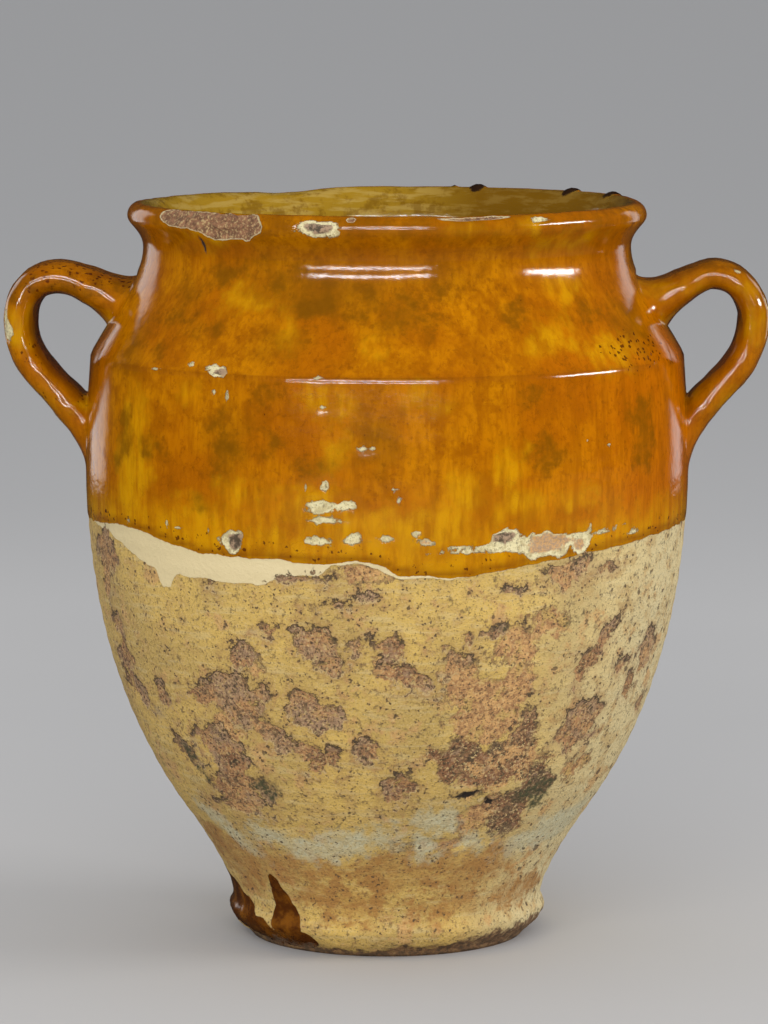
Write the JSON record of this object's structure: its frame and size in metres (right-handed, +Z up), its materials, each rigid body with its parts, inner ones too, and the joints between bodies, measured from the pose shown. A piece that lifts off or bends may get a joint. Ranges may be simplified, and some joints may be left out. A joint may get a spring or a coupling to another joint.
{
  "type": "confit pot",
  "caption": "Glazed earthenware storage pot with a rolled rim, a rounded belly on a narrow foot, and pulled loop handles at the shoulder.",
  "frame": {"origin": "on the ground under the middle of the pot, on the axis it was thrown on", "axes": "+Z up the pot's axis, +X towards the right handle seen from the front, +Y towards the back"},
  "size_m": [0.302, 0.2376, 0.2918],
  "materials": {
    "glazed_earthenware": "amber lead glaze over buff slip above, bare flaked slip below"
  },
  "bodies": {
    "root": {"pot": "glazed_earthenware"}
  },
  "joints": []
}
